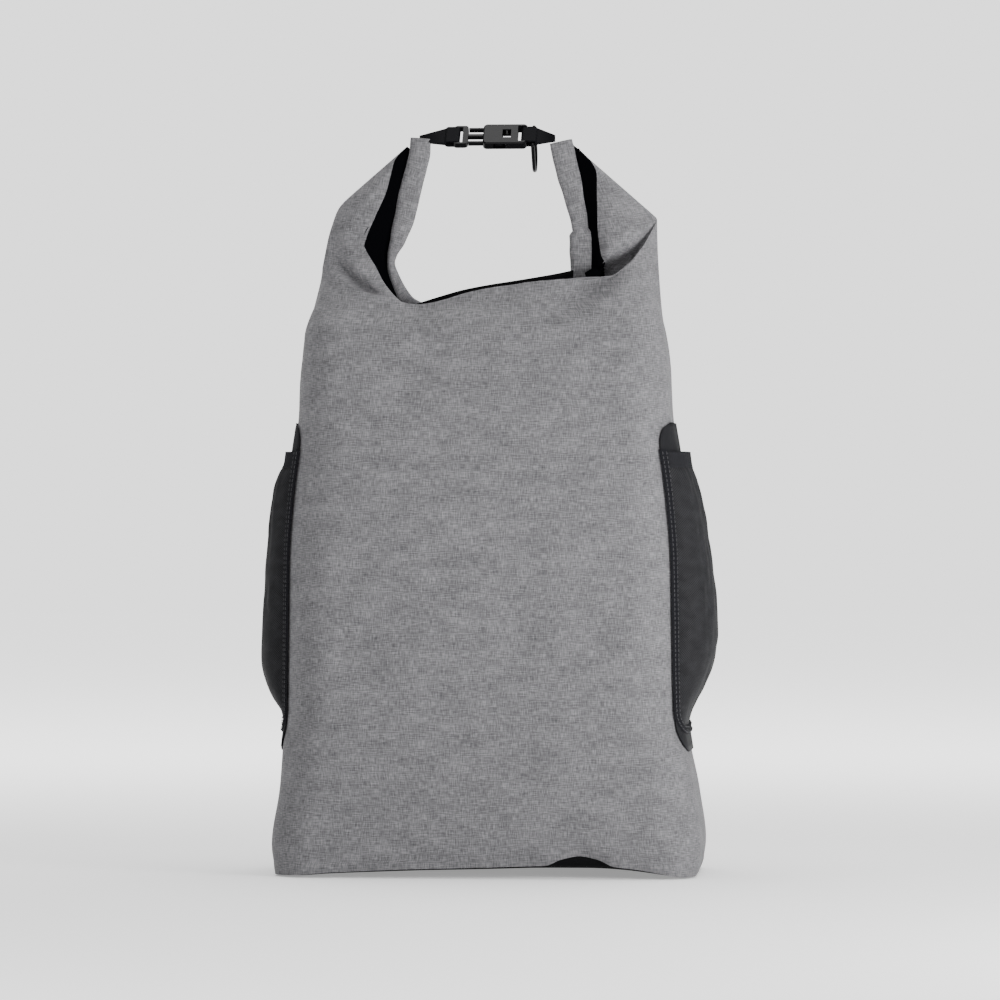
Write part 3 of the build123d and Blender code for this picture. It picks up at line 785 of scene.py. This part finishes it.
def spiral(half_width, half_thick, steps=110):
    """Section of the rolled cloth: one flat spiral strip with a thickness."""
    outer, inner = [], []
    for k in range(steps):
        t = k / (steps - 1)
        angle = math.radians(SEAM_ANGLE) + 2 * math.pi * TURNS * t
        shrink = t * TURNS * LAYER * LAYER_SHRINK
        for line, depth in ((outer, 0.0), (inner, LAYER)):
            w, h = half_width - shrink - depth, half_thick - shrink - depth
            w, h = max(w, 0.8), max(h, 0.35)
            c, s = math.cos(angle), math.sin(angle)
            line.append((w * math.copysign(abs(c) ** 0.75, c), h * math.copysign(abs(s) ** 0.8, s)))
    return np.array(outer + inner[::-1])


def add_arm(side, sign):
    """The roll of one arm and half the middle, the strip inside it and the strap behind it."""
    centres, along = path_points([(x, 0.0, z) for x, z in ROLL_PATH[side]], 120)
    sizes = curve(ROLL_SIZE[side], np.linspace(0, 1, 120))
    sections = np.array([spiral(w, h) for w, h in sizes])
    outward = np.stack([along[:, 2], 0 * along[:, 0], -along[:, 0]], -1) * -sign
    for k, c in enumerate(centres):
        sections[k, :, 0] += 0.5 * ripple(c, 11, 2.0)
        sections[k] *= 1 + 0.05 * ripple(c, 16, 6.0)
    roll = sweep(f"roll_{side}", centres, outward, FRONT, sections, HEATHER)
    strip_section = rounded_section(*STRIP_SIZE, 0.2, 2)
    strip = sweep(f"stiffener_strip_{side}", centres[2:], outward[2:], FRONT, strip_section, STIFF)
    upright = [(c, w) for c, w in zip(centres, sizes[:, 0]) if STRAP_Z[0] < c[2] < STRAP_Z[1]]
    behind = np.array([(c[0] + sign * (12.5 - 0.6 * w), STRAP_DEPTH, c[2]) for c, w in upright])
    widths = np.interp(behind[:, 2], [500, 528, 543], [24.0, 20.0, 11.0])
    strap_sections = np.array([rounded_section(w, STRAP_THICK, 0.5, 2) for w in widths])
    strap = sweep(f"closure_strap_cloth_{side}", behind, ACROSS, FRONT, strap_sections, WEBBING)
    for piece in (roll, strip, strap):
        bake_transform(piece)
    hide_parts(f"roll_arm_{side}")
    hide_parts("roll_centre")
    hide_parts(f"stiffener_{side}")
    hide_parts("stiffener_centre")
    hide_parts(f"closure_strap_{side}")


for side, sign in SIDES.items():
    add_arm(side, sign)

# a near-black strip laid behind the front fold: painted shade of the valley between the fold and the roll
SHADE_BAND = [(-54, 425.5), (-36, 431), (-18, 436), (3, 440), (20, 442.6), (36, 445.2), (54, 448.4), (66, 451)]
SHADE_BAND_THICK, SHADE_BAND_WIDTH, SHADE_BAND_DROP = 1.6, 9.0, 4.6
line, _ = path_points([(x, -5.0 - 2 * math.cos(x / 30), z - SHADE_BAND_DROP) for x, z in SHADE_BAND], 90)
shade_band_section = rounded_section(SHADE_BAND_THICK, SHADE_BAND_WIDTH, 0.6, 3)
band = sweep("mouth_shade_band", line, BACK, UP, shade_band_section, BLACK_CLOTH_AND_SHADE)
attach(band, "root")

# ---------------------------------------------------------------- side patches and pockets
PATCH_Z, PATCH_ROUND = (92, 336), 20
PATCH_HALF = {"left": 50, "right": 56}
# height, how far the net stands out
POCKET = {
    "left": [
        (113, 0.8), (120, 3), (129, 9.5), (142, 15.9), (158, 19.4), (190, 18.6), (233, 15.4), (265, 14.4),
        (286, 12.6), (298, 9.0), (306, 4.8), (313, 4.0),
    ],
    "right": [
        (113, 0.8), (120, 3), (128, 6.5), (140, 13.4), (152, 18.2), (179, 23.2), (205, 22.2), (225, 19.4),
        (257, 15.8), (280, 12.8), (294, 9.6), (305, 6.4), (313, 5.6),
    ],
}
POCKET_Z = (113, 313)
POCKET_HALF = {"left": 46.0, "right": 51.0}
ELASTIC_Z, ELASTIC_THICK = (302.5, 314.5), 1.5
SEAM_TAPE_Z, SEAM_TAPE_HALF, SEAM_TAPE_DEPTH = (20, 330), 9, 3.2
BINDING_HALF = {"left": 48.5, "right": 54.0}
BINDING_TOP, BINDING_BOTTOM = 316, 107.5
BINDING_SECTION = [(-3.6, 1.0), (-3.0, 2.1), (0.0, 2.4), (3.0, 2.1), (3.6, 1.0)]  # across, lift


def to_side(p, sign):
    """Points made for the right side, moved to the side asked for and leant with the body."""
    return lean(p * np.array([sign, 1, 1]))


def net_point(side, a, z, out_by=0.0):
    """Points on a pocket, as on the right: a from -1, the front edge, to 1, and heights z."""
    stand = curve(POCKET[side], z)[..., 0] + out_by
    p = side_point(z, a * POCKET_HALF[side], 1.2)
    p[..., 0] += stand * np.sqrt(np.clip(1 - np.abs(a) ** 2.6, 0, 1))
    return p


def side_grid(z, s, lift):
    """Side points for every height z and every place s round the side."""
    return side_point(z[:, None] * np.ones((1, len(s))), s[None, :] * np.ones((len(z), 1)), lift)


def add_patch(side, sign):
    """The black patch with rounded corners that the pocket is sewn on."""
    z = np.linspace(*PATCH_Z, 62)
    near_end = np.minimum(z - PATCH_Z[0], PATCH_Z[1] - z)
    inset = PATCH_ROUND - np.sqrt(PATCH_ROUND**2 - np.clip(PATCH_ROUND - near_end, 0, None) ** 2)
    s = np.linspace(-1, 1, 41)[None, :] * (PATCH_HALF[side] - inset)[:, None]
    grid = side_point(z[:, None] * np.ones((1, 41)), s, 1.3)
    patch = add_grid(f"side_patch_cloth_{side}", to_side(grid, sign), PATCH, thick=0.9, flip=sign < 0)
    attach(patch, "root")
    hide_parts(f"side_patch_{side}")


def add_net(side, sign):
    """The bulging net, with slack cloth low down and gathers towards the elastic."""
    a = np.linspace(-1, 1, 81)
    z = np.linspace(*POCKET_Z, 90)
    net = net_point(side, a[None, :] * np.ones((90, 1)), z[:, None] * np.ones((1, 81)))
    for i in range(90):
        for j in range(81):
            edge = min(1.0, 6 * (1 - abs(a[j]))) * min(1.0, (z[i] - POCKET_Z[0]) / 14)
            gather = math.sin(a[j] * 31 + 2 * ripple((0, a[j] * 20, z[i]), 30, 4.0))
            slack = ripple(net[i, j] * (1, 1.6, 0.8), 16, 9.0)
            up = ((z[i] - POCKET_Z[0]) / 200) ** 2
            net[i, j, 0] += edge * (1.1 * slack + 0.5 * gather * up)
    pocket = add_grid(f"pocket_net_{side}", to_side(net, sign), NET, flip=sign < 0)
    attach(pocket, "root")
    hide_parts(f"mesh_pocket_{side}")


def add_elastic(side, sign):
    """The elastic band along the pocket's mouth, a little wavy."""
    a = np.linspace(-1, 1, 121)
    band = np.array([net_point(side, a, np.full(121, v), 1.1) for v in np.linspace(*ELASTIC_Z, 9)])
    band[..., 0] += 0.35 * np.sin(a * 60) * (1 - np.abs(a)) + np.linspace(0, 0.8, 9)[:, None] * (1 - a**4)
    grid = to_side(band, sign)
    elastic = add_grid(f"elastic_band_{side}", grid, ELASTIC, thick=ELASTIC_THICK, flip=sign < 0)
    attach(elastic, "root")
    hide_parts(f"pocket_elastic_{side}")


def add_seam_tape(side, sign):
    """The tape over the side seam, on the inside of the cloth."""
    s = np.linspace(-SEAM_TAPE_HALF, SEAM_TAPE_HALF, 7)
    grid = to_side(side_grid(np.linspace(*SEAM_TAPE_Z, 60), s, -SEAM_TAPE_DEPTH), sign)
    tape = add_grid(f"seam_tape_inside_{side}", grid, TAPE, thick=0.3, flip=sign < 0)
    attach(tape, "root")
    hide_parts(f"seam_tape_{side}")


def add_binding(side, sign):
    """The tape bound round the pocket's two sides and bottom, with two rows of stitching."""
    half = BINDING_HALF[side]
    one_side = [(half - 12, 109), (half, 120), (half, 210), (half, BINDING_TOP)]
    outline = [(-s, z) for s, z in one_side[::-1]] + [(0, BINDING_BOTTOM)] + one_side
    line, direction = path_points(outline, 150)
    aside = np.stack([-direction[:, 1], direction[:, 0]], -1)

    def beside(across, lift):
        """Points beside the middle line of the tape, raised from the cloth."""
        q = line + aside * across
        return side_point(q[:, 1], q[:, 0], lift)

    strips = np.array([beside(across, lift) for across, lift in BINDING_SECTION]).transpose(1, 0, 2)
    binding = add_grid(f"binding_tape_{side}", to_side(strips, sign), BINDING, flip=sign < 0)
    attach(binding, "root")
    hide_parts(f"pocket_binding_{side}")
    for k, offset in enumerate((-2.0, 2.0)):
        seam = to_side(beside(offset, 2.3), sign)
        outward = to_side(beside(offset, 4.0), sign) - seam
        outward /= np.linalg.norm(outward, axis=1, keepdims=True)
        add_stitches(f"binding_stitches_{side}_{k}", seam, outward, THREAD, "root")


for side, sign in SIDES.items():
    for add_piece in (add_patch, add_net, add_elastic, add_seam_tape, add_binding):
        add_piece(side, sign)

# ---------------------------------------------------------------- back pad and shoulder straps
PAD_SIZE, PAD_Z, PAD_ROUND, PAD_THICK, PAD_EDGE = (190, 278), 229, 40, 9.0, 1.6
QUILT_LINES = (140, 185, 230, 275, 320)


def back_y(x, z):
    """Depth of the bag's back at a place seen from behind, away from its corners."""
    width, depth, _, swell, _ = np.moveaxis(curve(BODY, z), -1, 0)
    return depth / 2 + swell * np.cos(np.pi * np.clip(np.abs(x) / width, 0, 0.5))


def pad_outline(margin, steps=241):
    """The pad's rounded outline, a margin inside its edge, and the directions that point out of it."""
    turn_at = np.linspace(0, 2 * math.pi, steps)
    half_w, half_h = PAD_SIZE[0] / 2 - margin, PAD_SIZE[1] / 2 - margin
    x, z = half_w * 1.6 * np.cos(turn_at), half_h * 1.6 * np.sin(turn_at)
    corner_x = np.clip(x, PAD_ROUND - half_w, half_w - PAD_ROUND)
    corner_z = np.clip(z, PAD_ROUND - half_h, half_h - PAD_ROUND)
    reach = np.stack([x - corner_x, z - corner_z], -1)
    reach *= PAD_ROUND / (np.linalg.norm(reach, axis=1, keepdims=True) + 1e-9)
    edge_x, edge_z = corner_x + reach[:, 0], PAD_Z + corner_z + reach[:, 1]
    outward = np.stack([reach[:, 0], 0 * turn_at, reach[:, 1]], -1) / PAD_ROUND
    return edge_x, edge_z, outward


def add_back_pad():
    """The quilted foam pad on the back, with its edging and one row of stitching."""
    v, w = np.meshgrid(np.linspace(-1, 1, 120), np.linspace(-1, 1, 90), indexing="ij")
    from_end = PAD_SIZE[1] / 2 * (1 - np.abs(v))
    into_corner = np.clip(PAD_ROUND - from_end, 0, PAD_ROUND)
    half_width = PAD_SIZE[0] / 2 - (PAD_ROUND - np.sqrt(np.clip(PAD_ROUND**2 - into_corner**2, 0, None)))
    x = w * half_width
    z = PAD_Z + v * PAD_SIZE[1] / 2
    edge = np.minimum(half_width - np.abs(x), from_end)
    rim_fall = 1 - np.exp(-edge / 4.0)
    inner = np.clip((edge - 6) / 8, 0, 1)
    quilt = np.ones_like(x)
    for line_z in QUILT_LINES:
        quilt -= 0.45 * np.exp(-(((z - line_z) / 3.2) ** 2)) * inner
    quilt -= 0.55 * np.exp(-((x / 4.0) ** 2)) * inner
    thick = PAD_EDGE + (PAD_THICK - PAD_EDGE) * rim_fall * quilt
    grid = np.stack([x, back_y(x, z) + 2.0 + thick, z], -1)
    pad = add_grid("back_pad_foam", grid, PAD, thick=2.5, flip=True)
    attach(pad, "root")
    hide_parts("back_pad")
    edge_x, edge_z, outward = pad_outline(1.5)
    edge_line = np.stack([edge_x, back_y(edge_x, edge_z) + 3.2, edge_z], -1)
    section = rounded_section(4.4, 3.6, 1.7, 4)
    piping = sweep("pad_edging", edge_line, outward, BACK, section, BINDING, caps=False)
    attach(piping, "root")
    seam = edge_line - outward * 4.5 + np.array([0, 1.7, 0])
    add_stitches("pad_stitches", seam, np.broadcast_to(BACK, seam.shape), THREAD, "root")


# the middle line of a shoulder strap: depth, height
HARNESS_PATH = [
    (59.4, 390.3), (74, 398), (90, 400), (103, 387), (111, 366), (115.5, 340), (116, 315), (113, 285),
    (111, 262), (111, 240), (111, 214),
]
STRAP_X, STRAP_SIZE, TAPE_SIZE = 58.0, (51.0, 9.0), (20, 1.2)


def add_shoulder_strap(side, sign):
    """One foam strap with edging, webbing sewn along it, and the rows of stitching."""
    path, along = path_points([(sign * STRAP_X, y, z) for y, z in HARNESS_PATH], 110)
    up = np.stack([0 * along[:, 0], -along[:, 2], along[:, 1]], -1)
    sections = []
    for t in np.linspace(0, 1, 110):
        fall = min(1.0, 12 * t + 0.35, 10 * (1 - t) + 0.35)
        sections.append(rounded_section(STRAP_SIZE[0], STRAP_SIZE[1] * fall, 4.4 * fall, 8))
    foam = sweep(f"shoulder_strap_foam_{side}", path, ACROSS, up, np.array(sections), PAD)
    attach(foam, "root")
    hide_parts(f"shoulder_strap_{side}")
    for k, edge in enumerate((-1, 1)):
        rim_line = path[2:-2] + ACROSS * edge * 25.4
        section = rounded_section(3.2, 7.6, 1.5, 4)
        trim = sweep(f"strap_edging_{side}_{k}", rim_line, ACROSS, up[2:-2], section, BINDING)
        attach(trim, "root")
        seam = path[2:-2] + ACROSS * edge * 21.5 + up[2:-2] * 4.45
        add_stitches(f"strap_stitches_{side}_{k}", seam, up[2:-2], THREAD, "root")
    over = path[6:-1] + up[6:-1] * 4.9
    section = rounded_section(*TAPE_SIZE, 0.5, 3)
    tape = sweep(f"strap_webbing_{side}", over, ACROSS, up[6:-1], section, WEBBING)
    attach(tape, "root")
    for k, edge in enumerate((-1, 1)):
        seam = path[8:-3] + ACROSS * edge * 8.0 + up[8:-3] * 5.45
        add_stitches(f"webbing_stitches_{side}_{k}", seam, up[8:-3], THREAD, "root")


add_back_pad()
for side, sign in SIDES.items():
    add_shoulder_strap(side, sign)


# ---------------------------------------------------------------- webbing copied from the model's own parts
def copy_of(node_name, new_name, material):
    """A free copy of a CAD node's own mesh, shown in its place."""
    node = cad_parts[node_name]
    mesh = node.data.copy()
    mesh.materials.clear()
    mesh.materials.append(material)
    obj = bpy.data.objects.new(new_name, mesh)
    bpy.context.scene.collection.objects.link(obj)
    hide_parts(node_name)
    return obj


plug_tab = copy_of("plug_webbing", "plug_tab", WEBBING)
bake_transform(plug_tab)
socket_tab = copy_of("socket_webbing", "socket_tab", WEBBING)
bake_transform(socket_tab)
for side, sign in SIDES.items():
    adjuster = copy_of(f"adjuster_webbing_{side}", f"adjuster_{side}", WEBBING)
    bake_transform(adjuster)

# ---------------------------------------------------------------- room, light and camera
AMBIENT, BACKDROP, FLOOR_SHADE = 0.35, 1.9, 0.85
FLOOR_HALF, FLOOR_DROP = 9000, 0.0004
FADE_START, FADE_END = 0.4, 2.0  # metres from the object, from lit floor to backdrop


def studio_floor():
    """Pale round the object, and melting into the bright background further off."""
    mat, nodes, links, shader = new_material("floor", (FLOOR_SHADE, FLOOR_SHADE, FLOOR_SHADE), 0.9)
    place = nodes.new("ShaderNodeTexCoord")
    away = nodes.new("ShaderNodeVectorMath")
    away.operation = "LENGTH"
    links.new(place.outputs["Object"], away.inputs[0])
    level = nodes.new("ShaderNodeMapRange")
    level.interpolation_type = "SMOOTHSTEP"
    level.inputs["From Min"].default_value = FADE_START
    level.inputs["From Max"].default_value = FADE_END
    level.inputs["To Min"].default_value = AMBIENT
    level.inputs["To Max"].default_value = BACKDROP - FLOOR_SHADE * AMBIENT
    links.new(away.outputs["Value"], level.inputs["Value"])
    shader.inputs["Emission Color"].default_value = (1, 1, 1, 1)
    links.new(level.outputs["Result"], shader.inputs["Emission Strength"])
    return mat


def studio_world():
    """An even world that lights the object gently and shows the camera a bright backdrop."""
    world = bpy.data.worlds.new("studio")
    bpy.context.scene.world = world
    world.use_nodes = True
    nodes, links = world.node_tree.nodes, world.node_tree.links
    sky = nodes["Background"]
    sky.inputs["Color"].default_value = (1, 1, 1, 1)
    seen = nodes.new("ShaderNodeLightPath")
    level = nodes.new("ShaderNodeMapRange")
    level.inputs["To Min"].default_value = AMBIENT
    level.inputs["To Max"].default_value = BACKDROP
    links.new(seen.outputs["Is Camera Ray"], level.inputs["Value"])
    links.new(level.outputs["Result"], sky.inputs["Strength"])


corners = [(-FLOOR_HALF, -FLOOR_HALF, 0), (FLOOR_HALF, -FLOOR_HALF, 0), (FLOOR_HALF, FLOOR_HALF, 0)]
floor = add_mesh("floor", corners + [(-FLOOR_HALF, FLOOR_HALF, 0)], [(0, 1, 2, 3)])
floor.data.materials.append(studio_floor())
floor.location.z = -FLOOR_DROP
studio_world()


def area_light(name, place, target, size, power):
    """A square soft light aimed at a target."""
    light = bpy.data.lights.new(name, "AREA")
    light.size, light.energy = size, power
    obj = bpy.data.objects.new(name, light)
    bpy.context.scene.collection.objects.link(obj)
    obj.location = place
    obj.rotation_euler = (Vector(target) - Vector(place)).to_track_quat("-Z", "Y").to_euler()


area_light("key", (1.0, -0.75, 0.32), (0, 0, 0.25), 0.5, 17)
area_light("front", (-0.3, -2.2, 1.0), (0, 0, 0.28), 1.2, 9)
area_light("top", (0, 0.9, 2.6), (0, 0.9, 0), 3.0, 120)

CAMERA_TARGET, CAMERA_AWAY, CAMERA_TURN = Vector((0.0095, 0, 0.2785)), 4.0, math.radians(4.5)
camera = bpy.data.objects.new("camera", bpy.data.cameras.new("camera"))
bpy.context.scene.collection.objects.link(camera)
camera.data.lens, camera.data.sensor_width = 192, 36
from_target = Vector((math.sin(CAMERA_TURN), -math.cos(CAMERA_TURN), 0))
camera.location = CAMERA_TARGET + from_target * CAMERA_AWAY
camera.rotation_euler = (CAMERA_TARGET - camera.location).to_track_quat("-Z", "Y").to_euler()
bpy.context.scene.camera = camera
